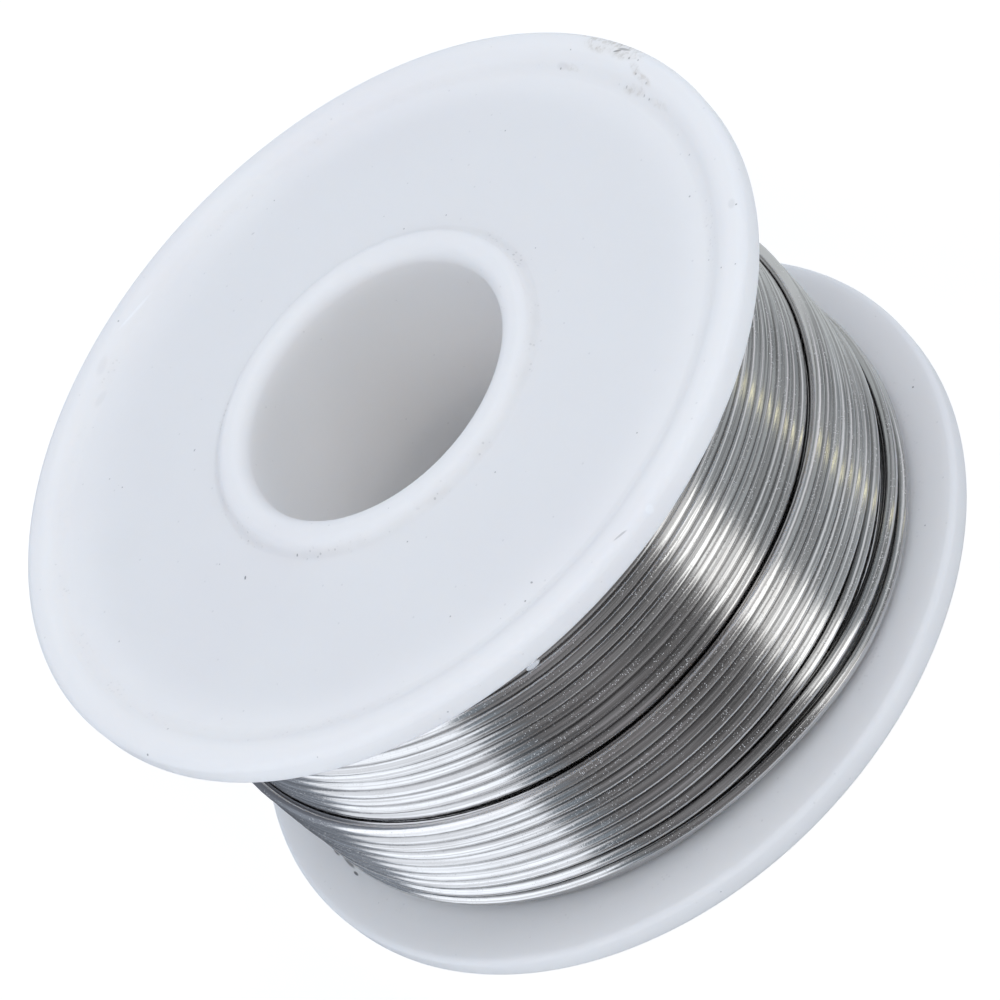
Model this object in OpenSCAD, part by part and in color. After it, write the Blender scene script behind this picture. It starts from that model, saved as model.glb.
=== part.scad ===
// Solder wire spool: a two-part snap-together plastic bobbin, wound full of solder wire.
// The spool stands on its lower flange, with its axis on Z and z = 0 under the flange.

/* [Bobbin] */
// Outer diameter of both flanges
flange_d = 55; // [50:0.5:64]
// Width of the whole bobbin, over both flanges
spool_w = 28.5; // [24:0.5:36]
// Thickness of a flange at its rim and at its boss
flange_t = 2.0; // [1.6:0.1:2.6]
// Diameter of the bore for the spindle
bore_d = 19.5; // [16:0.1:20]

/* [Flange face] */
// Depth of the web below the rim land and the boss
recess = 0.75; // [0.65:0.05:0.9]
// Width of the boss ring round the bore
boss_w = 2.15; // [1.5:0.05:4]
// Width of the raised land along the rim
rim_w = 2.2; // [1.2:0.1:4]
// Rounding of the flange's outer edge
edge_round = 0.35; // [0.1:0.05:0.6]
// Rounding of the edges of the boss and the rim land
land_round = 0.3; // [0.1:0.05:0.35]
// Fillet where the boss and the rim land meet the web
valley_round = 0.25; // [0.1:0.05:0.3]
// Rounding of the bore's mouth
mouth_round = 0.6; // [0.1:0.05:0.8]
// Fillet between the hub and the inner face of the flange
hub_round = 0.6; // [0.2:0.1:1]

/* [Snap joint] */
// Wall of the spigot, inside the socket of the other half
spigot_wall = 0.85; // [0.6:0.05:1.5]
// Wall of the socket, outside the spigot
socket_wall = 0.86; // [0.6:0.02:2]
// Length of the spigot below the middle of the bobbin
spigot_l = 8; // [5:0.5:10]
// Radius of the snap bead's section
bead_r = 0.3; // [0.2:0.05:0.4]
// Height of the snap bead over the spigot
bead_h = 0.15; // [0.1:0.05:0.2]
// Distance of the snap bead from the spigot's tip
bead_inset = 2; // [1:0.5:4]
// Gap between the spigot and the socket
snap_fit = 0.04; // [0.02:0.01:0.1]
// Gap between the spigot's tip and the socket's floor
tip_gap = 0.2; // [0.1:0.05:0.5]

/* [Winding] */
// Diameter of the solder wire
wire_d = 1; // [0.8:0.1:1.2]
// Diameter over the turns beside the lower flange, which lie one layer higher
high_over_d = 48.5; // [46:0.1:50]
// Height of the step between the two levels, for one layer of wire
layer_h = 0.87; // [0.7:0.01:1]
// Number of turns that lie on the low level, before the wire climbs
low_turns = 9; // [4:1:9]
// Clear gap that is drawn between neighbouring turns
turn_gap = 0.47; // [0.42:0.01:0.8]
// Gap between the winding and the inner face of each flange
flange_gap = 0.3; // [0.1:0.05:0.5]
// Gap between the outer turns and the layers that they lie on
seat_gap = 0.05; // [0.02:0.01:0.2]
// Gap between the inner layers and the hub
hub_gap = 0.05; // [0.02:0.01:0.2]

/* [Hidden] */
$fn = 96;

// Facets of the wound tube: rings in each turn and sides of its section
ring_count = 24;
side_count = 6;

plastic = [0.87, 0.89, 0.91];
solder = [0.62, 0.63, 0.65];

flange_r = flange_d / 2;
bore_r = bore_d / 2;
boss_r = bore_r + boss_w;
rim_r = flange_r - rim_w;
half_w = spool_w / 2;
spigot_r = bore_r + spigot_wall;
hub_r = spigot_r + snap_fit + socket_wall;
spigot_tip = half_w - spigot_l;
bead_z = spigot_tip + bead_inset;
bead_x = spigot_r + bead_h - bead_r;

// The tube's section stands on a corner, so its flat sides face the neighbouring turns
wire_r = wire_d / 2;
flat_r = wire_r * cos(180 / side_count);
turn_pitch = 2 * flat_r + turn_gap;
high_r = high_over_d / 2 - wire_r;
low_r = high_r - layer_h;
wind_bottom = flange_t + flange_gap;
wind_top = spool_w - flange_t - flange_gap;
turn_count = (wind_top - wind_bottom - 2 * flat_r) / turn_pitch;

// The climb takes half a turn, on the far side of the spool from where the turns show best
climb_start = low_turns - 0.25;
climb_turns = 0.5;
start_angle = 90;
step_z = turn_z(climb_start + climb_turns) - flat_r - seat_gap;

// Radius of the layers under a level of turns, clear of the tube's chords
function seat_r(turn_r) = (turn_r - wire_r) * cos(180 / ring_count) - seat_gap;

// A steady rise from 0 to 1 that starts and ends level
function ease(x) = let(s = max(0, min(1, x))) s * s * (3 - 2 * s);

// The wire's path, with t counted in turns from the upper flange
function turn_z(t) = wind_top - flat_r - turn_pitch * t;
function turn_r(t) = low_r + layer_h * ease((t - climb_start) / climb_turns);
function turn_angle(t) = start_angle + 360 * t;
function on_path(t) = [
    turn_r(t) * cos(turn_angle(t)),
    turn_r(t) * sin(turn_angle(t)),
    turn_z(t)
];

// One ring of the tube at a centre, with the turn's outward direction at the given angle
function ring_at(centre, angle) = [
    for (k = [0 : side_count - 1])
        let(a = 360 * k / side_count)
        centre + wire_r * cos(a) * [cos(angle), sin(angle), 0] + [0, 0, wire_r * sin(a)]
];

// Both ends run straight on for one wire diameter
function straight_on(t, length) =
    on_path(t) + length * [-sin(turn_angle(t)), cos(turn_angle(t)), 0];

ring_total = floor(turn_count * ring_count);
last_turn = ring_total / ring_count;
wire_rings = concat(
    [ring_at(straight_on(0, -wire_d), turn_angle(0))],
    [for (i = [0 : ring_total]) ring_at(on_path(i / ring_count), turn_angle(i / ring_count))],
    [ring_at(straight_on(last_turn, wire_d), turn_angle(last_turn))]
);

// A closed tube of triangles through a list of rings
module tube(rings) {
    sides = len(rings[0]);
    last = len(rings) - 1;
    points = [for (ring = rings) for (p = ring) p];
    walls = [
        for (i = [0 : last - 1])
            for (k = [0 : sides - 1])
                let(
                    a = i * sides + k,
                    b = i * sides + (k + 1) % sides,
                    c = a + sides,
                    d = b + sides
                )
                each [[a, b, c], [b, d, c]]
    ];
    caps = [
        for (k = [1 : sides - 2])
            each [[0, k + 1, k], [last * sides, last * sides + k, last * sides + k + 1]]
    ];
    polyhedron(points, concat(walls, caps));
}

// The least distance between the points of one turn and those of the next
least_gap = min([
    for (i = [0 : len(wire_rings) - ring_count])
        for (j = [i + ring_count - 2 : min(i + ring_count + 2, len(wire_rings) - 1)])
            for (p = wire_rings[i])
                min([for (q = wire_rings[j]) norm(p - q)])
]);
echo(least_gap_between_turns = least_gap, turns = last_turn);

// The corner piece between two square edges and the arc that rounds them:
// taken off an outer corner it rounds it, added to an inner corner it fillets it
module corner(x, y, r, to_x, to_y) {
    difference() {
        translate([min(x, x + to_x * r), min(y, y + to_y * r)]) square(r);
        translate([x + to_x * r, y + to_y * r]) circle(r);
    }
}

// Section of one flange with its hub fillet, from the outer face at y = 0 inwards
module flange_section() {
    difference() {
        union() {
            translate([bore_r, recess]) square([flange_r - bore_r, flange_t - recess]);
            translate([bore_r, 0]) square([boss_r - bore_r, flange_t]);
            translate([rim_r, 0]) square([rim_w, flange_t]);
            corner(boss_r, recess, valley_round, 1, -1);
            corner(rim_r, recess, valley_round, -1, -1);
            corner(hub_r, flange_t, hub_round, 1, 1);
        }
        corner(bore_r, 0, mouth_round, 1, 1);
        corner(boss_r, 0, land_round, -1, 1);
        corner(rim_r, 0, land_round, 1, 1);
        corner(flange_r, 0, edge_round, -1, 1);
        corner(flange_r, flange_t, edge_round, -1, -1);
    }
    translate([bore_r, flange_t - recess]) square([hub_r - bore_r, half_w - flange_t + recess]);
}

module upper_flange_half() {
    color(plastic)
    rotate_extrude()
    union() {
        translate([0, spool_w]) mirror([0, 1]) flange_section();
        translate([bore_r, spigot_tip]) square([spigot_wall, spigot_l + recess]);
        translate([bead_x, bead_z]) circle(bead_r, $fn = 32);
    }
}

module lower_flange_half() {
    color(plastic)
    rotate_extrude()
    difference() {
        flange_section();
        translate([bore_r - snap_fit, spigot_tip - tip_gap])
            square([spigot_wall + 2 * snap_fit, spigot_l + tip_gap + recess]);
        translate([bead_x, bead_z]) circle(bead_r + snap_fit, $fn = 32);
    }
}

// The layers that the outer turns cover stand as one solid with a step at mid-width
module inner_wire_layers() {
    core_r = hub_r + hub_gap;
    color(solder)
    rotate_extrude()
    polygon([
        [core_r + hub_round, wind_bottom],
        [seat_r(high_r), wind_bottom],
        [seat_r(high_r), step_z],
        [seat_r(low_r), step_z],
        [seat_r(low_r), wind_top],
        [core_r + hub_round, wind_top],
        [core_r, wind_top - hub_round],
        [core_r, wind_bottom + hub_round]
    ]);
}

module outer_wire_turns() {
    color(solder) tube(wire_rings);
}

upper_flange_half();
lower_flange_half();
inner_wire_layers();
outer_wire_turns();
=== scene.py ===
# %% [markdown]
# # A spool of solder wire
# The real object is a white plastic bobbin, moulded in two halves that snap
# together, wound full of one piece of soft, bright solder wire. In this lesson
# the bobbin is turned on a lathe, so to speak: its section is drawn once and
# spun round the axis. The wire is a curve that follows a formula, given
# thickness and made a mesh. Sizes are written in millimetres and multiplied by
# `mm`, because Blender works in metres here.

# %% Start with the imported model
import math

import bpy
import numpy as np
from mathutils import Matrix, Vector


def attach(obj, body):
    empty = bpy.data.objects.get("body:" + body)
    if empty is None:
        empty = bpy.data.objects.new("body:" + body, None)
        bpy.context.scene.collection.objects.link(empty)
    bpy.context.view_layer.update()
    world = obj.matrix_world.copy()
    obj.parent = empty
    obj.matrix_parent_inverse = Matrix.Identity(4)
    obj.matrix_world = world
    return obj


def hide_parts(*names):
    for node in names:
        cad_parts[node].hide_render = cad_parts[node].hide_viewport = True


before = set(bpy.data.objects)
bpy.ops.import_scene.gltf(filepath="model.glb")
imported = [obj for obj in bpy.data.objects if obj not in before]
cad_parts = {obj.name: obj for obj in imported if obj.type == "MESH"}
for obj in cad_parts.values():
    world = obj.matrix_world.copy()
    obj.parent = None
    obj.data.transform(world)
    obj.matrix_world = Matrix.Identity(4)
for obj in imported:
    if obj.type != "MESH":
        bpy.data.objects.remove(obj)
bpy.ops.object.select_all(action="DESELECT")
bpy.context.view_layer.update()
mm = 0.001
print("nodes:", sorted(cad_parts))

# %% [markdown]
# ## The camera
# The spool stands on its lower flange, with its axis upright. The camera looks
# down on it at 38 degrees and is rolled by 47 degrees, which makes the spool
# lean in the picture. A long lens keeps the two flanges nearly the same size.
# The view is worked out from four plain facts: how high the camera looks from,
# how it is rolled, how far it is from the middle of the upper face, and where
# that point lies in the picture.

# %% Camera
picture_size = 1000
sensor_width_mm = 36
focal_length_px = 3619.4
camera_distance = 227.68 * mm
camera_elevation = math.radians(37.92)
camera_roll = math.radians(46.76)
spool_width = 28.5 * mm
upper_face_middle = Vector((0, 0, spool_width))
middle_in_picture = (366.8, 382.2)

back = Vector((0, -math.cos(camera_elevation), math.sin(camera_elevation)))
right = Vector((1, 0, 0))
up = back.cross(right)
across = right * math.cos(camera_roll) - up * math.sin(camera_roll)
upward = right * math.sin(camera_roll) + up * math.cos(camera_roll)
to_middle = Vector((
    (middle_in_picture[0] - picture_size / 2) / focal_length_px,
    (picture_size / 2 - middle_in_picture[1]) / focal_length_px,
    1,
))
turn = Vector((0, 0, 1)).rotation_difference(to_middle).to_matrix()
axes = turn @ Matrix((across, upward, -back))

camera_data = bpy.data.cameras.new("camera")
camera_data.sensor_width = sensor_width_mm
camera_data.lens = focal_length_px * sensor_width_mm / picture_size
camera_data.clip_start = 0.01
camera = bpy.data.objects.new("camera", camera_data)
bpy.context.scene.collection.objects.link(camera)
standpoint = Matrix.Translation(upper_face_middle + back * camera_distance)
facing = Matrix((axes[0], axes[1], -axes[2])).transposed().to_4x4()
camera.matrix_world = standpoint @ facing
bpy.context.scene.camera = camera
bpy.context.scene.view_settings.view_transform = "Standard"
print("lens:", round(camera_data.lens, 1), "mm, camera at", camera.location)

# %% [markdown]
# ## Building materials in code
# Every finish below is a small graph of nodes. Five helpers keep the cells
# short: they add a node and fill its sockets, add one step of arithmetic, turn
# a value into a smooth mask between two limits, blend two colours, and start a
# new material.

# %% Helpers for node graphs
def add_node(tree, kind, inputs=None, **settings):
    """Adds a node; inputs maps a socket to a value or to another socket."""
    node = tree.nodes.new(kind)
    for name, value in settings.items():
        setattr(node, name, value)
    for socket, value in (inputs or {}).items():
        if isinstance(value, bpy.types.NodeSocket):
            tree.links.new(value, node.inputs[socket])
        else:
            node.inputs[socket].default_value = value
    return node


def calc(tree, operation, *values):
    """One step of arithmetic on values or sockets."""
    return add_node(tree, "ShaderNodeMath", dict(enumerate(values)),
                    operation=operation).outputs[0]


def mask(tree, value, low, high, to_low=0.0, to_high=1.0):
    """A smooth step: to_low where value is below low, to_high above high."""
    return add_node(tree, "ShaderNodeMapRange",
                    {0: value, 1: low, 2: high, 3: to_low, 4: to_high},
                    interpolation_type="SMOOTHSTEP").outputs[0]


def mix_colour(tree, factor, first, second):
    """Blends two colours by a factor."""
    return add_node(tree, "ShaderNodeMix", {0: factor, 6: first, 7: second},
                    data_type="RGBA").outputs[2]


def new_material(name):
    """A material with its own empty tree, its shader and its output."""
    material = bpy.data.materials.new(name)
    material.use_nodes = True
    tree = material.node_tree
    tree.nodes.clear()
    shader = add_node(tree, "ShaderNodeBsdfPrincipled")
    output = add_node(tree, "ShaderNodeOutputMaterial")
    tree.links.new(shader.outputs[0], output.inputs[0])
    return material, tree, shader


# %% [markdown]
# ## The studio
# Bright metal shows the room around it more than it shows itself. The studio
# is therefore drawn as a function of direction: a large soft box on the left,
# a strip light in front on the right with a second one above it, pale walls on
# the right, and the dim room behind the camera. It is a node group. A light is
# a direction, how far it leans, half its width, how soft its sides are, the
# heights between which it shines, how soft its ends are, and its colour.
# Widths are in degrees. A height of -1 is straight down, 0 is level and 1 is
# straight up, and a leaning light moves on by that many degrees for each 1 of
# height. A light that is darker than the room is a dark wall or a gap between
# two others. Each light in the list covers the ones before it.

# %% The studio as a node group
ROOM = (0.228, 0.226, 0.230)
#    name, azimuth, lean, half width, edge, lowest, highest, end, colour
LIGHTS = [
    ("pale foot", -100, 0, 45, 10, -2.0, -0.80, 0.12, (0.36, 0.36, 0.37)),
    ("dark middle", -88, 0, 14, 6, 0.34, 0.84, 0.10, (0.115, 0.115, 0.117)),
    ("dim glow", -110, 0, 13, 8, 0.05, 0.50, 0.12, (0.32, 0.31, 0.325)),
    ("dark low left", -128, 0, 14, 6, -0.65, -0.12, 0.1, (0.16, 0.162, 0.17)),
    ("dark high left", -118, 0, 20, 8, 0.72, 2.0, 0.1, (0.21, 0.21, 0.215)),
    ("grey side", -15, 0, 42, 8, -2.0, 2.0, 0.1, (0.43, 0.455, 0.47)),
    ("dim side", -33, 0, 11, 6, -0.22, 0.30, 0.12, (0.30, 0.315, 0.325)),
    ("grey top", -5, 0, 32, 10, 0.68, 2.0, 0.06, (0.33, 0.36, 0.38)),
    ("pale side", 62, 0, 38, 8, -2.0, 2.0, 0.1, (0.63, 0.665, 0.675)),
    ("dark slope", -8, -45, 7, 5, -0.85, -0.10, 0.08, (0.30, 0.32, 0.335)),
    ("dark corner", 126, 0, 30, 8, -2.0, 2.0, 0.1, (0.16, 0.175, 0.205)),
    ("blue corner", 152, 0, 12, 6, -2.0, 2.0, 0.1, (0.29, 0.325, 0.38)),
    ("bright slope", 14, -75, 11, 5, 0.02, 0.42, 0.05, (0.94, 0.95, 1.00)),
    ("high slope", -30, 0, 26, 8, 0.38, 0.60, 0.06, (0.84, 0.86, 0.89)),
    ("dark patch", 20, 0, 8, 5, 0.48, 0.78, 0.08, (0.24, 0.25, 0.25)),
    ("soft middle", -57, 0, 10, 3, 0.15, 0.64, 0.08, (0.84, 0.84, 0.83)),
    ("low strip", -63, -15, 10, 2.5, -0.95, 0.09, 0.05, (1.74, 1.75, 1.72)),
    ("high strip", -82, 40, 9, 3, 0.60, 2.0, 0.04, (1.42, 1.43, 1.41)),
    ("warm glint", -16, -13, 1.6, 1.1, -0.60, 0.12, 0.05, (1.45, 1.38, 0.98)),
    ("warm foot", -74, -110, 3.5, 2.5, -0.84, -0.62, 0.04, (0.90, 0.88, 0.66)),
    ("blue edge", -136, 0, 6, 3, -0.45, 0.55, 0.1, (0.25, 0.29, 0.33)),
    ("box foot", -150, 46, 28, 6, -0.85, -0.30, 0.15, (1.36, 1.43, 1.52)),
    ("soft box", -171, 0, 28.5, 2.5, -0.40, 0.76, 0.22, (1.42, 1.49, 1.59)),
]

studio = bpy.data.node_groups.new("studio", "ShaderNodeTree")
studio.interface.new_socket("Direction", in_out="INPUT",
                            socket_type="NodeSocketVector")
studio.interface.new_socket("Light", in_out="OUTPUT",
                            socket_type="NodeSocketColor")
way_in = studio.nodes.new("NodeGroupInput")
way_out = studio.nodes.new("NodeGroupOutput")
unit = add_node(studio, "ShaderNodeVectorMath", {0: way_in.outputs[0]},
                operation="NORMALIZE")
x, y, height = add_node(studio, "ShaderNodeSeparateXYZ",
                        {0: unit.outputs[0]}).outputs
heading = calc(studio, "ARCTAN2", y, x)
light = (*ROOM, 1)
for name, azimuth, lean, half, edge, lowest, highest, end, colour in LIGHTS:
    middle = calc(studio, "MULTIPLY_ADD", height, math.radians(lean),
                  math.radians(azimuth))
    off = calc(studio, "WRAP", calc(studio, "SUBTRACT", heading, middle),
               math.pi, -math.pi)
    off = calc(studio, "ABSOLUTE", off)
    within = mask(studio, off, math.radians(half - edge),
                  math.radians(half + edge), 1.0, 0.0)
    above = mask(studio, height, lowest - end, lowest + end)
    below = mask(studio, height, highest - end, highest + end, 1.0, 0.0)
    inside = calc(studio, "MULTIPLY", within,
                  calc(studio, "MULTIPLY", above, below))
    light = mix_colour(studio, inside, light, (*colour, 1))
    light.node.label = name
studio.links.new(light, way_out.inputs[0])
print("studio lights:", [name for name, *_ in LIGHTS])

# %% [markdown]
# Matt surfaces are lit by a light tent: a slightly bluish light from all round
# that is stronger near the horizon. Rays that mirror the surroundings see the
# studio instead. The light path tells the two apart: as soon as a path has
# bounced off something matt, it sees the tent. The camera sees plain white
# where it looks past the table. That white is a colour for camera rays and not
# more light, so the spool isn't overlit.

# %% World
TENT_HIGH = (0.185, 0.225, 0.285)
TENT_LOW = (0.52, 0.62, 0.75)
WHITE = (1, 1, 1)

world = bpy.data.worlds.new("studio_world")
bpy.context.scene.world = world
world.use_nodes = True
world.cycles.sampling_method = "NONE"
tree = world.node_tree
tree.nodes.clear()
rays = add_node(tree, "ShaderNodeLightPath")
direction = add_node(tree, "ShaderNodeTexCoord").outputs["Generated"]
around = add_node(tree, "ShaderNodeGroup", {}, node_tree=studio)
tree.links.new(direction, around.inputs[0])
bounced = calc(tree, "GREATER_THAN", rays.outputs["Diffuse Depth"], 0.5)
rise = add_node(tree, "ShaderNodeSeparateXYZ", {0: direction}).outputs[2]
tent = mix_colour(tree, mask(tree, rise, -0.1, 0.6),
                  (*TENT_LOW, 1), (*TENT_HIGH, 1))
lit = mix_colour(tree, bounced, around.outputs[0], tent)
looks_past = calc(tree, "MAXIMUM", rays.outputs["Is Camera Ray"],
                  rays.outputs["Is Transmission Ray"])
seen = mix_colour(tree, looks_past, lit, (*WHITE, 1))
background = add_node(tree, "ShaderNodeBackground", {0: seen, 1: 1.0})
add_node(tree, "ShaderNodeOutputWorld", {0: background.outputs[0]})
print("tent:", TENT_LOW, "near the horizon,", TENT_HIGH, "overhead")

# %% [markdown]
# Five big lamps high up all round give the matt surfaces the rest of their
# light. They are kept out of reflections, because the metal would show them as
# hard shapes. Each is a disc, placed by its azimuth and its elevation and
# turned to the spool. They hang low enough to light the far wall of the bore.

# %% Lamps
LAMP_WIDTH, LAMP_DISTANCE = 0.5, 0.7
#    name, azimuth, elevation, energy, colour
LAMPS = [
    ("left_lamp", -155, 45, 1.00, (0.94, 0.965, 1.03)),
    ("front_lamp", -90, 46, 1.12, (1.0, 0.965, 0.94)),
    ("right_lamp", -20, 45, 1.15, (0.95, 0.965, 1.01)),
    ("back_left_lamp", 145, 50, 0.64, (0.94, 0.965, 1.03)),
    ("back_right_lamp", 55, 50, 0.82, (0.95, 0.965, 1.01)),
]
for name, azimuth, elevation, energy, colour in LAMPS:
    lamp_data = bpy.data.lights.new(name, "AREA")
    lamp_data.shape = "DISK"
    lamp_data.size = LAMP_WIDTH
    lamp_data.energy = energy
    lamp_data.color = colour
    lamp = bpy.data.objects.new(name, lamp_data)
    bpy.context.scene.collection.objects.link(lamp)
    turned, raised = math.radians(azimuth), math.radians(elevation)
    lamp.location = (LAMP_DISTANCE * math.cos(turned) * math.cos(raised),
                     LAMP_DISTANCE * math.sin(turned) * math.cos(raised),
                     LAMP_DISTANCE * math.sin(raised))
    lamp.rotation_euler = lamp.location.to_track_quat("Z", "Y").to_euler()
    lamp.visible_glossy = False
    lamp.visible_camera = False
print("lamps:", [name for name, *_ in LAMPS])

# %% [markdown]
# ## The table
# A plain pale disc. It gives the spool something to stand on and takes its
# shadow. For rays that look straight at it, it is white paper with a little
# glow of its own. It is kept out of reflections, so the metal mirrors the
# lower part of the studio there instead.

# %% Table
TABLE_RADIUS = 1.2
PAPER, PAPER_SEEN, PAPER_GLOW = (0.88, 0.88, 0.88), (0.34, 0.34, 0.34), 0.78

bpy.ops.mesh.primitive_circle_add(
    vertices=96, radius=TABLE_RADIUS, fill_type="NGON",
    location=(0, 0, -0.02 * mm))
table = bpy.context.object
table.name = "table"
paper, tree, shader = new_material("white_paper")
paper.cycles.emission_sampling = "NONE"
tree.nodes.remove(shader)
matt = add_node(tree, "ShaderNodeBsdfDiffuse", {0: (*PAPER, 1)})
shade = add_node(tree, "ShaderNodeBsdfDiffuse", {0: (*PAPER_SEEN, 1)})
glow = add_node(tree, "ShaderNodeEmission", {0: (*WHITE, 1), 1: PAPER_GLOW})
looked_at = add_node(tree, "ShaderNodeAddShader",
                     {0: shade.outputs[0], 1: glow.outputs[0]})
rays = add_node(tree, "ShaderNodeLightPath")
straight = calc(tree, "MAXIMUM", rays.outputs["Is Camera Ray"],
                rays.outputs["Is Transmission Ray"])
seen = add_node(tree, "ShaderNodeMixShader",
                {0: straight, 1: matt.outputs[0], 2: looked_at.outputs[0]})
tree.links.new(seen.outputs[0], tree.nodes["Material Output"].inputs[0])
table.visible_glossy = False
table.data.materials.append(paper)
print("table:", 2 * TABLE_RADIUS, "m across")

# %% [markdown]
# ## White plastic
# The bobbin is moulded in a satin white plastic. Up close it is not one flat
# colour: grey dust sits in the corners where the boss and the rim meet the
# web, a few dark specks stick to it, one side of the rim is scuffed, and
# handling has left faint smudges. A mark is an ellipse at a place on the
# spool. Its row gives what it is, its radius, azimuth and height, its half
# width and half length, how far it leans, and how dark it is. A smear is the
# same with a wide, mottled fade.

# %% Marks on the plastic
MARKS = [
    ("speck", 25.3, -159.9, 27.8, 0.10, 0.08, 0, 0.75),
    ("speck", 27.3, -160.1, 28.4, 0.06, 0.09, 0, 0.7),
    ("speck", 23.4, -94.7, 27.75, 0.10, 0.07, 20, 0.6),
    ("speck", 24.2, -97.0, 27.75, 0.07, 0.07, 0, 0.6),
    ("speck", 27.0, -32.0, 28.5, 0.07, 0.07, 0, 0.6),
    ("speck", 24.9, 20.0, 27.75, 0.09, 0.07, 0, 0.6),
    ("speck", 26.1, 109.1, 28.5, 0.07, 0.07, 0, 0.55),
    ("speck", 14.5, -165.5, 27.75, 0.15, 0.07, 40, 0.85),
    ("speck", 12.8, 45.9, 27.75, 0.07, 0.06, 0, 0.5),
    ("speck", 21.3, 84.5, 27.75, 0.14, 0.07, 70, 0.25),
    ("speck", 14.3, 139.5, 27.75, 0.10, 0.06, 60, 0.5),
    ("speck", 21.4, 139.4, 27.75, 0.06, 0.06, 0, 0.4),
    ("speck", 12.25, -151.0, 27.8, 0.09, 0.07, 0, 0.6),
    ("speck", 23.8, -24.1, 27.75, 0.07, 0.07, 0, 0.55),
    ("speck", 24.8, -16.6, 27.75, 0.07, 0.06, 0, 0.45),
    ("faint smear", 25.4, 116.9, 28.4, 0.35, 0.9, 10, 0.07),
    ("faint smear", 24.6, 122.1, 27.8, 0.30, 0.7, -10, 0.06),
    ("faint smear", 25.1, 19.6, 27.8, 0.30, 0.6, 0, 0.10),
    ("faint smear", 26.7, -31.5, 28.5, 0.25, 0.4, 0, 0.10),
    ("crack", 26.77, 9.9, 28.5, 0.08, 0.36, 29, 0.75),
    ("crack", 27.02, 9.0, 28.5, 0.10, 0.50, 8, 0.6),
    ("speck", 26.6, 6.9, 28.5, 0.09, 0.09, 0, 0.55),
    ("speck", 26.74, 5.1, 28.5, 0.07, 0.07, 0, 0.5),
    ("speck", 25.9, 3.7, 28.5, 0.08, 0.08, 0, 0.5),
    ("speck", 25.75, 0.7, 28.5, 0.09, 0.07, 0, 0.4),
    ("speck", 25.0, 4.7, 27.8, 0.12, 0.07, 0, 0.4),
    ("speck", 25.1, 0.1, 27.9, 0.10, 0.07, 0, 0.4),
    ("speck", 25.1, -1.3, 27.8, 0.09, 0.07, 0, 0.6),
    ("speck", 25.93, -20.0, 2.0, 0.07, 0.07, 0, 0.9),
    ("speck", 25.49, -45.9, 2.0, 0.06, 0.06, 0, 0.5),
    ("scratch", 27.1, -82.5, 28.4, 0.07, 0.50, -14, 0.4),
    # Dark marks on the lower flange, right beside the wire.
    ("dark beside the wire", 24.60, 177.6, 2.0, 0.13, 0.5, 0, 0.95),
    ("dark beside the wire", 24.42, -178.6, 2.0, 0.13, 0.8, 0, 0.8),
    ("dark beside the wire", 24.62, -175.6, 2.0, 0.09, 0.3, 0, 0.95),
]
SMEARS = [
    ("rub on the edge", 27.20, 11.8, 28.4, 0.35, 2.5, 0, 1.0),
    ("rub on the rim", 26.85, 14.2, 28.5, 0.45, 1.2, -7, 0.75),
    ("rub by the crack", 26.75, 8.0, 28.5, 0.35, 1.2, 10, 0.7),
    ("trail", 26.15, 4.4, 28.5, 0.22, 0.7, -25, 0.65),
    ("trail", 25.83, 1.6, 28.5, 0.22, 0.7, -7, 0.6),
    ("trail in the corner", 25.05, 2.7, 28.0, 0.28, 0.9, 12, 0.55),
    ("trail in the corner", 25.25, -4.0, 28.0, 0.22, 1.0, 8, 0.3),
    ("trail in the corner", 25.02, 17.6, 28.0, 0.20, 0.5, -5, 0.4),
]
# Painted glints: two small white highlights painted into the plastic's colour,
# on the rim slope and on the outer edge of the upper flange.
PAINTED_GLINTS = [
    ("painted glint on the rim slope", 25.4, 106.0, 28.4, 0.10, 1.9, -7, 0.8),
    ("painted glint on the edge", 27.45, -77.8, 28.2, 0.16, 0.28, 0, 0.9),
]
print("marks:", len(MARKS), "smears:", len(SMEARS), "pale:", len(PAINTED_GLINTS))


# %% Helpers for marks and dust
def spot(tree, place, radius, azimuth, height, half_wide, half_long, lean,
         fade=1.25):
    """A soft-edged ellipse on the spool, in millimetres and degrees."""
    turned = math.radians(azimuth)
    local = add_node(tree, "ShaderNodeMapping", {
        "Vector": place,
        "Location": (radius * mm * math.cos(turned),
                     radius * mm * math.sin(turned), height * mm),
        "Rotation": (0, 0, turned + math.radians(lean)),
        "Scale": (half_wide * mm, half_long * mm, 0.4 * mm),
    }, vector_type="TEXTURE")
    far = add_node(tree, "ShaderNodeVectorMath", {0: local.outputs[0]},
                   operation="LENGTH").outputs["Value"]
    return mask(tree, far, 0.6, fade, 1.0, 0.0)


def dots(tree, place, scale, size, share):
    """Round dots: cells for each unit, size in cells, share that is filled."""
    cells = add_node(tree, "ShaderNodeTexVoronoi",
                     {"Vector": place, "Scale": scale, "Randomness": 1.0})
    chance = add_node(tree, "ShaderNodeSeparateXYZ",
                      {0: cells.outputs["Color"]}).outputs[0]
    filled = calc(tree, "LESS_THAN", chance, share)
    dot = mask(tree, cells.outputs["Distance"], size * 0.6, size, 1.0, 0.0)
    return calc(tree, "MULTIPLY", filled, dot)


def ring(tree, away, radius, half_width):
    """A soft ring round the axis, from the distance to the axis."""
    off = calc(tree, "ABSOLUTE", calc(tree, "SUBTRACT", away, radius * mm))
    return mask(tree, off, 0.0, half_width * mm, 1.0, 0.0)


# %% Layers of the plastic's colour
PLASTIC, SMUDGED = (0.918, 0.900, 0.880), (0.898, 0.878, 0.866)
DARK_MARK, SCUFF = (0.20, 0.195, 0.20), (0.46, 0.42, 0.36)
GLINT_WHITE = (0.98, 0.97, 0.96)
BOSS_DUST, RIM_DUST = (12.2, 0.55), (24.8, 0.7)


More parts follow.
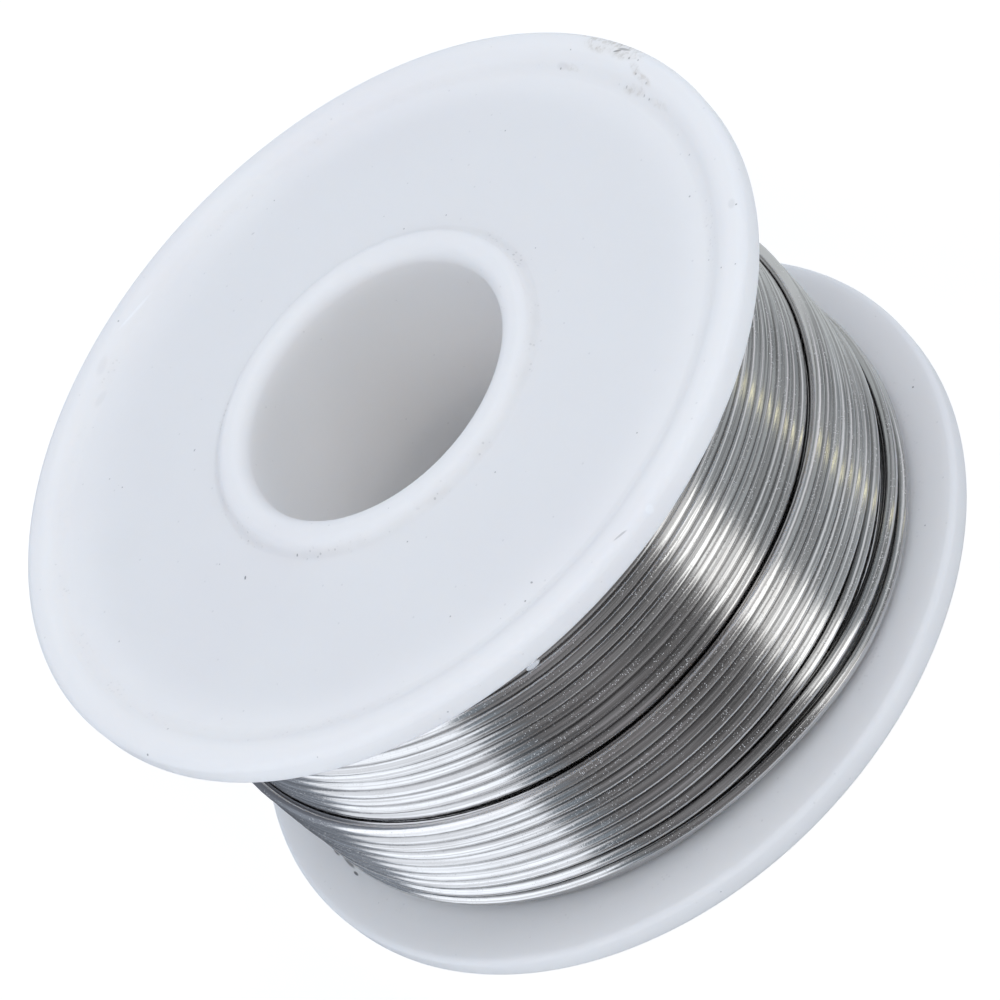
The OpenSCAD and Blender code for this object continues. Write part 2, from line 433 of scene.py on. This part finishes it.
def noise(tree, place, scale, detail, dimensions="3D", **sockets):
    """Plain noise, in cells for each unit of the place."""
    inputs = {"Vector": place, "Scale": scale, "Detail": detail, **sockets}
    return add_node(tree, "ShaderNodeTexNoise", inputs,
                    noise_dimensions=dimensions).outputs[0]


def strongest(tree, place, rows, dark, fade=1.25):
    """Lays marks over a darkness: at each place, the darkest one counts."""
    for _, *shape, strength in rows:
        here = calc(tree, "MULTIPLY", spot(tree, place, *shape, fade), strength)
        dark = calc(tree, "MAXIMUM", dark, here)
    return dark


def dirt(tree, place, patchy):
    """How dirty the plastic is: dust in the corners, specks and the marks."""
    flat = add_node(tree, "ShaderNodeVectorMath", {0: place, 1: (1, 1, 0)},
                    operation="MULTIPLY").outputs[0]
    away = add_node(tree, "ShaderNodeVectorMath", {0: flat},
                    operation="LENGTH").outputs["Value"]
    rim_dust = calc(tree, "MULTIPLY", ring(tree, away, *RIM_DUST), 0.35)
    corner_dust = calc(tree, "MAXIMUM", ring(tree, away, *BOSS_DUST), rim_dust)
    clustered = calc(tree, "MULTIPLY", corner_dust,
                     mask(tree, patchy, 0.46, 0.62))
    grains = dots(tree, place, 3400.0, 0.36, 0.5)
    grains = calc(tree, "MULTIPLY", grains, clustered)
    haze = calc(tree, "MULTIPLY", clustered, 0.05)
    dust = calc(tree, "MAXIMUM", calc(tree, "MULTIPLY", grains, 0.34), haze)
    specks = dots(tree, place, 1500.0, 0.11, 0.02)
    faint = dots(tree, place, 2300.0, 0.22, 0.035)
    specks = calc(tree, "MAXIMUM", calc(tree, "MULTIPLY", specks, 0.5),
                  calc(tree, "MULTIPLY", faint, 0.12))
    dark = calc(tree, "MAXIMUM", dust, specks)
    return strongest(tree, place, MARKS, dark)


# %% Plastic material
def white_plastic():
    """Moulded white plastic with dust, specks, smudges, painted glints and an
    uneven gloss.
    """
    material, tree, shader = new_material("white_plastic_finish")
    place = add_node(tree, "ShaderNodeTexCoord").outputs["Object"]
    broad = noise(tree, place, 55.0, 2.0)
    patchy = noise(tree, place, 260.0, 3.0)
    fine = noise(tree, place, 1500.0, 3.0)
    mottle = noise(tree, place, 2400.0, 5.0, Roughness=0.65)

    smudge = mask(tree, broad, 0.38, 0.68)
    colour = mix_colour(tree, smudge, (*PLASTIC, 1), (*SMUDGED, 1))
    colour = mix_colour(tree, dirt(tree, place, patchy), colour, (*DARK_MARK, 1))
    rub_and_glint_area = strongest(tree, place, SMEARS, 0.0, 1.7)
    scuff = calc(tree, "MULTIPLY", rub_and_glint_area,
                 mask(tree, mottle, 0.42, 0.64, 0.12, 0.62))
    colour = mix_colour(tree, scuff, colour, (*SCUFF, 1))
    # Painted glints: white highlights mixed into the colour.
    for _, *shape, strength in PAINTED_GLINTS:
        here = calc(tree, "MULTIPLY", spot(tree, place, *shape), strength)
        colour = mix_colour(tree, here, colour, (*GLINT_WHITE, 1))

    tree.links.new(colour, shader.inputs["Base Color"])
    tree.links.new(mask(tree, patchy, 0.3, 0.7, 0.40, 0.54),
                   shader.inputs["Roughness"])
    bump = add_node(tree, "ShaderNodeBump",
                    {"Strength": 0.12, "Distance": 0.02 * mm, "Height": fine})
    tree.links.new(bump.outputs[0], shader.inputs["Normal"])
    shader.inputs["Subsurface Weight"].default_value = 1.0
    shader.inputs["Subsurface Radius"].default_value = (1.0, 0.95, 0.9)
    shader.inputs["Subsurface Scale"].default_value = 1.7 * mm
    return material


plastic = white_plastic()
print(plastic.name, len(plastic.node_tree.nodes), "nodes")

# %% [markdown]
# ## The two halves of the bobbin
# Each half is a turned shape: every cut through the axis gives the same
# section. It could be built from cylinders and booleans, but drawing the
# section once and spinning it gives clean, even faces, and each corner gets
# its own radius before the spin. The section starts as one point that is
# extruded from corner to corner.

# %% Sizes of the bobbin
flange_radius = 27.5 * mm
flange_thickness = 2.0 * mm
web_depth = 0.75 * mm
bore_radius = 9.75 * mm
boss_radius = bore_radius + 2.15 * mm
rim_radius = flange_radius - 2.2 * mm
boss_slope = 0.5 * mm
rim_slope = 1.0 * mm

spigot_radius = bore_radius + 0.85 * mm
socket_radius = spigot_radius + 0.04 * mm
hub_radius = socket_radius + 0.86 * mm
seam_height = spool_width / 2
spigot_tip = seam_height - 8.0 * mm
socket_floor = spigot_tip - 0.2 * mm
bead_level = spigot_tip + 2.0 * mm
bead_height = 0.15 * mm

# Roundings, from the bore's mouth out to the edge and in to the hub
MOUTH = 1.00 * mm
LAND = 0.40 * mm
VALLEY = 0.40 * mm
SLOPE = 0.55 * mm
BRIM = 0.55 * mm
EDGE = 0.45 * mm
FILLET = 0.60 * mm
TIP = 0.20 * mm
SHARP = 0
print("flange", 2 * flange_radius / mm, "mm, bore", 2 * bore_radius / mm, "mm")


def flange_corners():
    """Corners from the bore's mouth to the hub: radius, depth, rounding."""
    return [
        (bore_radius, 0, MOUTH),
        (boss_radius - boss_slope / 2, 0, LAND),
        (boss_radius + boss_slope / 2, web_depth, VALLEY),
        (rim_radius - rim_slope / 2, web_depth, SLOPE),
        (rim_radius + rim_slope / 2, 0, SLOPE),
        (flange_radius, 0, BRIM),
        (flange_radius, flange_thickness, EDGE),
        (hub_radius, flange_thickness, FILLET),
    ]


# %% Helper that draws a section and spins it
ROUNDING_STEPS = 6
SAME_POINT, MERGED = 0.01 * mm, 0.002 * mm


def spin_section(name, corners, steps=360):
    """Draws a closed section in the XZ plane, rounds it and spins it."""
    points = [Vector((radius, 0, height)) for radius, height, _ in corners]
    bpy.ops.mesh.primitive_plane_add(size=0.1 * mm, location=points[0])
    piece = bpy.context.object
    piece.name = name
    bpy.ops.object.mode_set(mode="EDIT")
    bpy.ops.mesh.merge(type="CENTER")
    for here, there in zip(points, points[1:]):
        bpy.ops.mesh.extrude_region_move(
            TRANSFORM_OT_translate={"value": there - here})
    bpy.ops.mesh.select_all(action="SELECT")
    bpy.ops.object.mode_set(mode="OBJECT")
    bpy.ops.object.transform_apply(location=True, rotation=True, scale=True)
    close_loop(piece)
    sizes = {rounding for *_, rounding in corners} - {SHARP}
    for size in sorted(sizes, reverse=True):
        round_here = [point for point, corner in zip(points, corners)
                      if corner[2] == size]
        pick(piece, [vertex.index for vertex in piece.data.vertices if any(
            (vertex.co - point).length < SAME_POINT for point in round_here)])
        bpy.ops.object.mode_set(mode="EDIT")
        bpy.ops.mesh.bevel(offset=size, segments=ROUNDING_STEPS,
                           affect="VERTICES")
        bpy.ops.object.mode_set(mode="OBJECT")
    bpy.ops.object.mode_set(mode="EDIT")
    bpy.ops.mesh.select_all(action="SELECT")
    bpy.ops.mesh.spin(steps=steps, angle=math.tau, center=(0, 0, 0),
                      axis=(0, 0, 1), use_auto_merge=True)
    bpy.ops.mesh.select_all(action="SELECT")
    bpy.ops.mesh.remove_doubles(threshold=MERGED)
    bpy.ops.mesh.normals_make_consistent(inside=False)
    bpy.ops.object.mode_set(mode="OBJECT")
    return piece


def pick(piece, chosen):
    """Selects only the vertices with the chosen indices."""
    bpy.ops.object.mode_set(mode="OBJECT")
    mesh = piece.data
    mesh.polygons.foreach_set("select", [False] * len(mesh.polygons))
    mesh.edges.foreach_set("select", [False] * len(mesh.edges))
    chosen = set(chosen)
    mesh.vertices.foreach_set(
        "select", [index in chosen for index in range(len(mesh.vertices))])


def close_loop(piece):
    """Joins the two ends of a chain of vertices with an edge."""
    uses = [0] * len(piece.data.vertices)
    for edge in piece.data.edges:
        for end in edge.vertices:
            uses[end] += 1
    pick(piece, [index for index, count in enumerate(uses) if count == 1])
    bpy.ops.object.mode_set(mode="EDIT")
    bpy.ops.mesh.edge_face_add()
    bpy.ops.object.mode_set(mode="OBJECT")


# %% Helper that finishes a plastic piece
SMOOTH_UP_TO = math.radians(32)


def finish_smooth(piece, material):
    """Smooth shading that keeps flats flat, and the piece's finish."""
    bpy.ops.object.select_all(action="DESELECT")
    piece.select_set(True)
    bpy.context.view_layer.objects.active = piece
    bpy.ops.object.shade_smooth_by_angle(angle=SMOOTH_UP_TO)
    bpy.ops.object.modifier_add(type="WEIGHTED_NORMAL")
    piece.modifiers[-1].keep_sharp = True
    bpy.ops.object.modifier_apply(modifier=piece.modifiers[-1].name)
    piece.data.materials.clear()
    piece.data.materials.append(material)
    piece.select_set(False)
    print(piece.name, len(piece.data.polygons), "faces")


# %% [markdown]
# The moulding isn't perfect: a scrap of flash hangs from the inner edge of the
# upper flange, and each flange's edge has a small bump. Each is a flattened
# ball, sunk most of its way into the edge and fused with the piece by a
# Boolean. A ball that was only joined would keep its hidden half inside, and
# light that travels through the plastic would run into it.

# %% Helper for small bumps on an edge
def add_nub(piece, azimuth, radius, height, across, along, thick):
    """Fuses a flattened ball with a piece, in degrees and millimetres."""
    turned = math.radians(azimuth)
    middle = (radius * mm * math.cos(turned), radius * mm * math.sin(turned),
              height * mm)
    bpy.ops.mesh.primitive_uv_sphere_add(
        segments=24, ring_count=12, radius=1 * mm, location=middle,
        rotation=(0, 0, turned), scale=(across, along, thick))
    bpy.ops.object.transform_apply(location=True, rotation=True, scale=True)
    ball = bpy.context.object
    bpy.context.view_layer.objects.active = piece
    bpy.ops.object.modifier_add(type="BOOLEAN")
    fuse = piece.modifiers[-1]
    fuse.operation = "UNION"
    fuse.object = ball
    before = len(piece.data.polygons)
    bpy.ops.object.modifier_apply(modifier=fuse.name)
    bpy.data.objects.remove(ball)
    print("faces before and after the nub:", before, len(piece.data.polygons))


# %% [markdown]
# The lower half carries the socket: the hub's wall is cut back from the
# inside, with a shallow groove for the snap bead. The groove is a little wider
# than the bead, so the two halves click together without being forced.

# %% Lower half
half_groove = 0.32 * mm
groove = [
    (socket_radius, bead_level + half_groove, SHARP),
    (socket_radius + bead_height, bead_level, SHARP),
    (socket_radius, bead_level - half_groove, SHARP),
]
lower_half = spin_section("lower_half", flange_corners() + [
    (hub_radius, seam_height, SHARP),
    (socket_radius, seam_height, SHARP),
    *groove,
    (socket_radius, socket_floor, SHARP),
    (bore_radius, socket_floor, SHARP),
])
add_nub(lower_half, azimuth=-162.75, radius=27.33, height=1.2,
        across=0.22, along=0.45, thick=0.30)
finish_smooth(lower_half, plastic)
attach(lower_half, "root")
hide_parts("lower_flange_half")

# %% [markdown]
# The upper half has the same flange, turned over, and the spigot that slides
# into the socket, with its bead.

# %% Upper half
half_bead = 0.26 * mm
bead = [
    (spigot_radius, bead_level + half_bead, SHARP),
    (spigot_radius + bead_height, bead_level, SHARP),
    (spigot_radius, bead_level - half_bead, SHARP),
]
turned_over = [(radius, spool_width - depth, rounding)
               for radius, depth, rounding in flange_corners()]
upper_half = spin_section("upper_half", turned_over + [
    (hub_radius, seam_height, SHARP),
    (spigot_radius, seam_height, SHARP),
    *bead,
    (spigot_radius, spigot_tip, TIP),
    (bore_radius, spigot_tip, SHARP),
])
add_nub(upper_half, azimuth=-101.2, radius=27.36, height=26.45,
        across=0.13, along=0.48, thick=0.20)
add_nub(upper_half, azimuth=-156.5, radius=27.33, height=27.2,
        across=0.22, along=0.40, thick=0.30)
finish_smooth(upper_half, plastic)
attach(upper_half, "root")
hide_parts("upper_flange_half")

# %% [markdown]
# ## Solder
# Solder is a soft, bright tin alloy. Drawing it through a die leaves fine
# lines along the wire, and rubbing against its neighbours leaves tiny pits on
# the outer side. The pattern follows the wire, so it reads the wire's own UV
# map: U runs along it in millimetres, and V once round it, with 0.5 on the
# side that faces away from the spool's axis. The grooves between the turns
# get painted shade, so they are darker than the crests. The one flank that is
# open to the room, at the step between the two levels, gets a painted
# highlight, and pale matt flecks along the crest are painted glints.

# %% Parts of the solder's finish
BRIGHT, TARNISHED = (0.685, 0.685, 0.69), (0.64, 0.635, 0.635)
# The darkest colour on the next line is painted shade for the grooves.
DRAWN, GROOVE_SHADE = (0.36, 0.35, 0.35), (0.20, 0.20, 0.20)
# The next line holds a painted highlight for the open flank and painted glints
# for the crest.
FLANK_HIGHLIGHT, PAINTED_GLINT = (0.80, 0.78, 0.78), (0.84, 0.83, 0.82)
open_level = 13.6 * mm


def stretched(tree, place, along, round_it):
    """The wire's map, stretched along the wire and round it."""
    return add_node(tree, "ShaderNodeVectorMath",
                    {0: place, 1: (along, round_it, 0.0)},
                    operation="MULTIPLY").outputs[0]


def beside(tree, side):
    """Masks for a painted highlight on the open flank and painted shade in the
    grooves, from the place on the wire.
    """
    place = add_node(tree, "ShaderNodeTexCoord").outputs["Object"]
    level = add_node(tree, "ShaderNodeSeparateXYZ", {0: place}).outputs[2]
    off = calc(tree, "ABSOLUTE", calc(tree, "SUBTRACT", level, open_level))
    at_step = mask(tree, off, 0.33 * mm, 0.5 * mm, 1.0, 0.0)
    open_flank = calc(tree, "MULTIPLY", mask(tree, side, 0.50, 0.58), at_step)
    flanks = calc(tree, "MAXIMUM", mask(tree, side, 0.61, 0.70),
                  mask(tree, side, 0.34, 0.42, 1.0, 0.0))
    covered = calc(tree, "SUBTRACT", 1.0, open_flank)
    return open_flank, calc(tree, "MULTIPLY", covered, flanks)


# %% Solder material
def solder_metal():
    """Drawn solder: bright, with fine lines along it, pits, painted shade in
    the grooves, and a painted highlight and glints.
    """
    material, tree, shader = new_material("solder_finish")
    along = add_node(tree, "ShaderNodeUVMap", uv_map="along").outputs[0]
    side = add_node(tree, "ShaderNodeSeparateXYZ", {0: along}).outputs[1]
    unrolled = stretched(tree, along, 1.0, 3.11)
    lines = noise(tree, stretched(tree, along, 0.03, 15.0), 1.0, 1.2, "2D",
                  Roughness=0.6)
    grain = noise(tree, unrolled, 9.0, 3.0, "2D", Roughness=0.65)
    patches = noise(tree, unrolled, 0.35, 2.0, "2D")
    pits = dots(tree, unrolled, 4.6, 0.24, 0.35)

    tarnish = mask(tree, patches, 0.35, 0.7)
    colour = mix_colour(tree, tarnish, (*BRIGHT, 1), (*TARNISHED, 1))
    streak = mask(tree, lines, 0.42, 0.60, 0.0, 0.60)
    colour = mix_colour(tree, streak, colour, (*DRAWN, 1))
    open_flank, groove = beside(tree, side)
    # Painted shade: the grooves where the turns touch are darkened in the
    # colour.
    painted_groove_shade = calc(tree, "MULTIPLY", groove, 0.40)
    colour = mix_colour(tree, painted_groove_shade, colour, (*GROOVE_SHADE, 1))
    # Painted highlight: the open flank at the step is made lighter.
    painted_flank_highlight = calc(tree, "MULTIPLY", open_flank, 0.45)
    colour = mix_colour(tree, painted_flank_highlight, colour, (*FLANK_HIGHLIGHT, 1))

    # Painted glints: pale matt flecks along the crest of the wire.
    from_outer = calc(tree, "ABSOLUTE", calc(tree, "SUBTRACT", side, 0.595))
    crest = mask(tree, from_outer, 0.03, 0.10, 1.0, 0.0)
    rub_and_glint_area = calc(tree, "MULTIPLY", crest, mask(tree, patches, 0.42, 0.56))
    flecks = dots(tree, unrolled, 9.5, 0.33, 0.45)
    flecks = calc(tree, "MULTIPLY", flecks, rub_and_glint_area)
    colour = mix_colour(tree, flecks, colour, (*PAINTED_GLINT, 1))
    tree.links.new(colour, shader.inputs["Base Color"])
    metal = calc(tree, "SUBTRACT", 1.0, flecks)
    tree.links.new(metal, shader.inputs["Metallic"])
    shader.inputs["Metallic"].default_value = 1.0
    tree.links.new(mask(tree, grain, 0.3, 0.75, 0.09, 0.19),
                   shader.inputs["Roughness"])

    relief = calc(tree, "MULTIPLY", lines, 2.3)
    relief = calc(tree, "ADD", relief, calc(tree, "MULTIPLY", grain, 0.12))
    relief = calc(tree, "SUBTRACT", relief, calc(tree, "MULTIPLY", pits, 0.5))
    bump = add_node(tree, "ShaderNodeBump", {
        "Strength": 0.7, "Distance": 0.012 * mm, "Height": relief})
    tree.links.new(bump.outputs[0], shader.inputs["Normal"])
    return material


solder = solder_metal()
print(solder.name, len(solder.node_tree.nodes), "nodes")


# %% Flux core material
def flux_core():
    """The amber resin that fills the middle of the wire."""
    material, _, shader = new_material("flux_core_finish")
    shader.inputs["Base Color"].default_value = (0.55, 0.27, 0.06, 1)
    shader.inputs["Roughness"].default_value = 0.25
    return material


# %% [markdown]
# ## The path of the wire
# The wire lies in turns one wire thick, side by side. On most of its way
# round, a turn stays level; in the last part it steps over by one wire's
# thickness. So the path is a staircase: a list of levels, with a smooth step
# between each level and the next. The step lies on the far side. The upper
# turns lie one layer deeper than the lower ones: between the two, the wire
# climbs onto the layer below. The last three turns lie slack, wider apart.

# %% Levels of the outer turns
wire_radius = 0.495 * mm
deep_radius = 22.88 * mm
high_radius = 23.75 * mm
DEEP_TURNS, CLOSE_TURNS = 13, 7

deep_levels = [25.94 - 0.99 * i for i in range(DEEP_TURNS)]
close_levels = [13.42 - 1.0 * i for i in range(CLOSE_TURNS)]
slack_levels = [6.4, 5.2, 3.95]
levels = np.array(deep_levels + close_levels + slack_levels) * mm
LAST_TURN = len(levels) - 1
print(len(levels), "outer turns")

# %% Helpers for the staircase
TURN_START = -175.0
STEP_START, STEP_END = 42.0, 112.0
STEP_LENGTH = STEP_END - STEP_START


def smooth_step(x):
    """Rises from 0 to 1, level at both ends."""
    x = np.clip(x, 0, 1)
    return x * x * x * (10 - 15 * x + 6 * x * x)


def turn_and_step(angle):
    """The turn that an angle in degrees lies in, and how far it has stepped."""
    turn = np.floor((angle - TURN_START) / 360).astype(int)
    step = smooth_step((angle - 360 * turn - STEP_START) / STEP_LENGTH)
    return turn, step


def on_levels(values, angle):
    """Reads a list of values turn by turn, with the step between them."""
    turn, step = turn_and_step(angle)
    first = values[np.clip(turn, 0, len(values) - 1)]
    second = values[np.clip(turn + 1, 0, len(values) - 1)]
    return first + (second - first) * step


# %% [markdown]
# No hand-wound spool is perfect. The last turns before the lower flange are
# slack: they sag towards the flange and stand away from the rest, so dark gaps
# open beside them. Each slack turn is a few points round the spool: an angle
# in degrees, a shift along the axis and a shift outwards, in millimetres. They
# are joined by straight lines, which a running average then bends into one
# smooth curve.

# %% Slack in the last turns
SLACK = {
    LAST_TURN - 2: [(-118, 0, 0), (-92, -0.05, 0), (-67, -0.30, 0.10),
                    (-45, -0.02, 0.05), (-20, 0, 0)],
    LAST_TURN - 1: [(-112, 0, 0), (-86, -0.10, 0.06), (-67, -0.55, 0.30),
                    (-40, -0.58, 0.36), (-12, -0.45, 0.30), (25, 0, 0)],
    LAST_TURN: [(-110, 0, 0), (-86, -0.24, 0.12), (-75, -0.62, 0.32),
                (-62, -0.98, 0.42), (-45, -0.80, 0.38), (-20, -0.52, 0.28),
                (30, 0, 0)],
}
SMOOTHED_OVER = 11


def slack_at(angle):
    """Shift along the axis and outwards, in metres, at each angle."""
    turn, _ = turn_and_step(angle)
    within = angle - 360 * turn
    along, outward = np.zeros_like(angle), np.zeros_like(angle)
    for loose, points in SLACK.items():
        here = turn == loose
        at, shift, out = np.array(points).T
        along[here] = np.interp(within[here], at, shift) * mm
        outward[here] = np.interp(within[here], at, out) * mm
    average = np.hanning(SMOOTHED_OVER) / np.hanning(SMOOTHED_OVER).sum()
    return (np.convolve(along, average, mode="same"),
            np.convolve(outward, average, mode="same"))


# %% Unevenness of all the turns
WAVE_LENGTHS = (41.0, 67.0, 113.0, 194.0)
DIP = 0.25 * mm
# Where the turns start to sink and to come back, and over how many degrees
SINK_START, SINK_LENGTH = -135, 40
BACK_START, BACK_LENGTH = -60, 60


def hand_wound(angle, size, seed):
    """A small, smooth, seeded unevenness along the wire."""
    random = np.random.default_rng(seed)
    waves = np.zeros_like(angle)
    for length in WAVE_LENGTHS:
        waves += np.sin(math.tau * (angle / length + random.random()))
    return size * waves / len(WAVE_LENGTHS)


def common_dip(angle):
    """All the turns sag a little together on one side of the spool."""
    within = (angle - TURN_START) % 360 + TURN_START
    sinks = smooth_step((within - SINK_START) / SINK_LENGTH)
    comes_back = smooth_step((within - BACK_START) / BACK_LENGTH)
    return -DIP * (sinks - comes_back)


# %% [markdown]
# The tube is a curve of short straight pieces: its points come from the
# formula, its bevel gives it thickness, and then it is made a mesh, so that it
# can carry a UV map of its own. The map is written ring by ring, from where
# each vertex lies round the wire, so it can't twist.

# %% Helper for wound wire
def wind(name, points, sides=24):
    """A round wire through the points, as a mesh with a map along it."""
    data = bpy.data.curves.new(name, "CURVE")
    data.dimensions = "3D"
    data.twist_mode = "Z_UP"
    data.bevel_depth = wire_radius
    # A bevel has four sides, and two more for each step of its resolution
    data.bevel_resolution = (sides - 4) // 2
    line = data.splines.new("POLY")
    line.points.add(len(points) - 1)
    line.points.foreach_set(
        "co", np.hstack([points, np.ones((len(points), 1))]).ravel())
    piece = bpy.data.objects.new(name, data)
    bpy.context.scene.collection.objects.link(piece)
    piece.select_set(True)
    bpy.context.view_layer.objects.active = piece
    bpy.ops.object.convert(target="MESH")
    piece.data.name = name
    last_ring = len(piece.data.vertices) - sides
    for first in (0, last_ring):
        cap_end(piece, range(first, first + sides))
    map_along(piece, points)
    piece.select_set(False)
    return piece


def cap_end(piece, ring):
    """Closes the open tube with a face over one ring of vertices."""
    pick(piece, ring)
    bpy.ops.object.mode_set(mode="EDIT")
    bpy.ops.mesh.edge_face_add()
    bpy.ops.object.mode_set(mode="OBJECT")


# %% Helpers for the map along the wire
def read(items, attribute, width=1, kind=int):
    """Reads one attribute of all the items into an array."""
    values = np.zeros(len(items) * width, dtype=kind)
    items.foreach_get(attribute, values)
    return values


def around_wire(mesh, points, rings):
    """For each vertex, its place round the wire: 0.5 faces outwards."""
    spots = read(mesh.vertices, "co", 3, float).reshape(-1, 3)
    flat = points[rings, :2]
    outward = flat / np.linalg.norm(flat, axis=1)[:, None]
    offset = spots - points[rings]
    facing = np.arctan2(offset[:, 2], (offset[:, :2] * outward).sum(axis=1))
    return facing / math.tau + 0.5


def map_along(piece, points):
    """Writes the UV map: millimetres along the wire, and once round it."""
    mesh = piece.data
    count = len(points)
    sides = round(len(mesh.vertices) / count)
    steps = np.linalg.norm(np.diff(points, axis=0), axis=1)
    along = np.concatenate([[0], np.cumsum(steps)]) / mm
    rings = np.minimum(np.arange(len(mesh.vertices)) // sides, count - 1)
    corner = read(mesh.loops, "vertex_index")
    side = around_wire(mesh, points, rings)[corner]

    # A face that crosses from 1 back to 0 has its low corners moved past 1
    starts = read(mesh.polygons, "loop_start")
    is_quad = read(mesh.polygons, "loop_total") == 4
    quads = starts[is_quad][:, None] + np.arange(4)
    wraps = side[quads].max(axis=1) - side[quads].min(axis=1) > 0.5
    wrapped = side[quads[wraps]]
    side[quads[wraps]] = np.where(wrapped < 0.5, wrapped + 1, wrapped)

    layer = mesh.uv_layers.new(name="along")
    spread = np.stack([along[rings[corner]], side], axis=1)
    layer.data.foreach_set("uv", spread.ravel())
    mesh.polygons.foreach_set("use_smooth", is_quad.tolist())
    print(piece.name, count, "rings of", sides, "sides,",
          round(along[-1] / 1000, 2), "m long")


def on_spool(angle, radius, height):
    """Points on the winding, from angles in degrees."""
    turned = np.radians(angle)
    return np.stack([radius * np.cos(turned), radius * np.sin(turned), height],
                    axis=1)


# %% [markdown]
# Solder wire for electronics has a core of flux. At the cut end it shows as an
# amber dot: the end face is inset, and the inner face takes a second material.

# %% Helper for the cut end
SOLDER_WALL, CORE_DEPTH = 0.30 * mm, 0.03 * mm


def cut_end(piece, tip):
    """Insets the end face nearest to the tip and fills in the flux core."""
    ends = [face for face in piece.data.polygons if len(face.vertices) > 4]
    end = min(ends, key=lambda face: (face.center - tip).length)
    pick(piece, list(end.vertices))
    bpy.context.view_layer.objects.active = piece
    piece.select_set(True)
    bpy.ops.object.mode_set(mode="EDIT")
    bpy.ops.mesh.inset(thickness=SOLDER_WALL, depth=-CORE_DEPTH)
    piece.active_material_index = 1
    bpy.ops.object.material_slot_assign()
    bpy.ops.object.mode_set(mode="OBJECT")
    piece.select_set(False)
    core = sum(face.material_index == 1 for face in piece.data.polygons)
    print("faces of the flux core:", core)


# %% [markdown]
# The outer turns are one unbroken wire. It rises out of the layer below beside
# the upper flange, and its free end stands off a little on the far side.

# %% Route of the outer turns
ANGLE_STEP = 3.0
FIRST, LAST = -205.0, 360 * LAST_TURN + 74.0
RISE_LENGTH, LIFT_LENGTH = 45, 34
SUNK, STANDS_OFF, LIFTED = 0.8 * mm, 1.5 * mm, 0.25 * mm

angle = np.arange(FIRST, LAST, ANGLE_STEP)
climb_start = 360 * (DEEP_TURNS - 1) + STEP_START
climb = smooth_step((angle - climb_start) / STEP_LENGTH)
sag, bulge = slack_at(angle)
rise_in = 1 - smooth_step((angle - FIRST) / RISE_LENGTH)
lift_off = smooth_step((angle - (LAST - LIFT_LENGTH)) / LIFT_LENGTH)

radius = deep_radius + (high_radius - deep_radius) * climb
radius = radius + bulge - SUNK * rise_in + STANDS_OFF * lift_off
radius = radius + hand_wound(angle, size=0.05 * mm, seed=3)
height = on_levels(levels, angle) + common_dip(angle)
height = height + hand_wound(angle, size=0.04 * mm, seed=4)
height = np.maximum(height, flange_thickness + wire_radius)
height = height + sag + 0.03 * mm * rise_in + LIFTED * lift_off
route = on_spool(angle, radius, height)

# %% Outer turns
outer_turns = wind("outer_turns", route)
outer_turns.data.materials.append(solder)
outer_turns.data.materials.append(flux_core())
cut_end(outer_turns, Vector(route[-1]))
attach(outer_turns, "root")
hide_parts("outer_wire_turns")

# %% [markdown]
# ## What the outer turns lie on
# Under the raised turns lies one more layer of real wire, which shows in the
# gaps beside the slack turns. What is under that is never seen between its
# turns, so it is one turned body with a half-round ridge for each turn.

# %% Covered layer
between_turns = [level - 0.5 for level in close_levels]
under_the_slack = [5.7, 4.45, 3.45, 2.46]
covered_levels = between_turns[:1] + between_turns + under_the_slack
COVERED_END = 360 * (len(covered_levels) - 1) - 60
DIVE_START, DIVE_LENGTH, DIVE_DEPTH = COVERED_END - 58, 50, 0.85 * mm

angle = np.arange(STEP_END + 8, COVERED_END, ANGLE_STEP)
height = on_levels(np.array(covered_levels) * mm, angle) + common_dip(angle)
height = np.maximum(height, flange_thickness + wire_radius)
dive = smooth_step((angle - DIVE_START) / DIVE_LENGTH)
radius = deep_radius - DIVE_DEPTH * dive
covered_wire = wind("covered_wire", on_spool(angle, radius, height), sides=16)

# %% Ridged core
core_radius = 21.88 * mm
ridge_foot = 21.2 * mm
core_inside = hub_radius + 0.1 * mm
core_chamfer = 0.7 * mm
ridge_levels = np.arange(3.4, 25.6, 1.0) * mm
bends = np.radians(np.arange(-75, 76, 30))

corners = [
    (core_radius + wire_radius * math.cos(bend),
     level + wire_radius * math.sin(bend), SHARP)
    for level in ridge_levels for bend in bends
]
corners += [
    (ridge_foot, 26.2 * mm, SHARP),
    (core_inside + core_chamfer, 26.3 * mm, SHARP),
    (core_inside, 25.6 * mm, SHARP),
    (core_inside, 2.9 * mm, SHARP),
    (core_inside + core_chamfer, 2.2 * mm, SHARP),
    (ridge_foot, 2.3 * mm, SHARP),
]
ridged_core = spin_section("ridged_core", corners, steps=120)

# %% Join the covered layer to its core
bpy.ops.object.select_all(action="DESELECT")
covered_wire.select_set(True)
ridged_core.select_set(True)
bpy.context.view_layer.objects.active = covered_wire
bpy.ops.object.join()
inner_layers = bpy.context.object
inner_layers.name = "inner_layers"
inner_layers.select_set(False)
inner_layers.data.materials.clear()
inner_layers.data.materials.append(solder)
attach(inner_layers, "root")
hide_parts("inner_wire_layers")
print(inner_layers.name, len(inner_layers.data.polygons), "faces")
